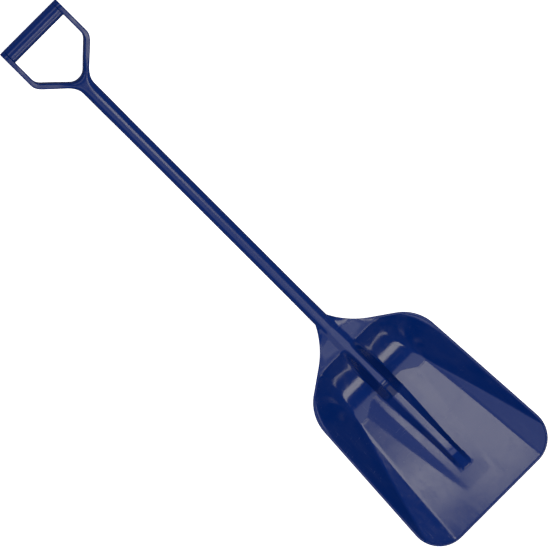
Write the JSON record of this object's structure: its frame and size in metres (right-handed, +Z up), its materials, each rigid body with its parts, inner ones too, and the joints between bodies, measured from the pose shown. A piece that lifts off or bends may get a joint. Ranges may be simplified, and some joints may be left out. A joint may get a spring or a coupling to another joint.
{
  "type": "snow shovel",
  "caption": "One-colour plastic scoop shovel with a deep pocket, a central stiffening spine, a round straight shaft and a closed D-shaped hand grip.",
  "frame": {"origin": "centre of the footprint on the ground, with the shovel resting on the heel of its scoop and on its grip, open side up", "axes": "+X along the length towards the digging edge, +Y across the blade, +Z up out of the scoop's open side"},
  "size_m": [1.3348, 0.338, 0.0827],
  "materials": {
    "blade": "deep blue moulded polypropylene, glossy walls, fine scuffs on the floor",
    "shaft": "deep blue moulded polypropylene, semi-gloss",
    "yoke": "deep blue moulded polypropylene, semi-gloss",
    "grip": "deep blue moulded polypropylene, semi-gloss",
    "core_tube": "drawn tube",
    "grip_rod": "glass-filled rod",
    "plug": "moulded plug"
  },
  "bodies": {
    "root": {"blade": "blade", "shaft": "shaft", "shaft_core": "core_tube", "lower_core_plug": "plug", "upper_core_plug": "plug", "d_grip_yoke": "yoke", "hand_grip": "grip", "grip_core": "grip_rod"}
  },
  "joints": []
}
